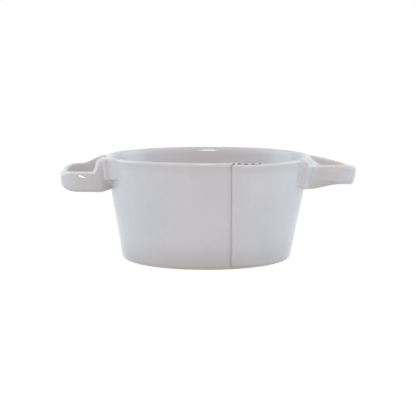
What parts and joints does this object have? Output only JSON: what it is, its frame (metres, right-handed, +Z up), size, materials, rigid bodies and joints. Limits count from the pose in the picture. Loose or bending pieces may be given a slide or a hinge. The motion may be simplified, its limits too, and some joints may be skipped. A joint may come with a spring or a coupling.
{
  "type": "handled bowl",
  "caption": "Round slab-built stoneware bowl with flaring straight sides, a lapped seam and strap handles, glazed pale grey, for serving soup or baking a single portion.",
  "frame": {"origin": "on the table, under the middle of the bowl", "axes": "+Z up, +X through the handles to the right, -Y to the front, where the lapped seam is"},
  "size_m": [0.2295, 0.1591, 0.08],
  "materials": {
    "pale_grey_glaze": "glossy pale grey glaze"
  },
  "bodies": {
    "root": {"wall_slab": "pale_grey_glaze", "floor_disc": "pale_grey_glaze", "floor_seam_coil": "pale_grey_glaze", "left_handle_strap": "pale_grey_glaze", "left_front_luting_coil": "pale_grey_glaze", "left_rear_luting_coil": "pale_grey_glaze", "right_handle_strap": "pale_grey_glaze", "right_front_luting_coil": "pale_grey_glaze", "right_rear_luting_coil": "pale_grey_glaze"}
  },
  "joints": []
}
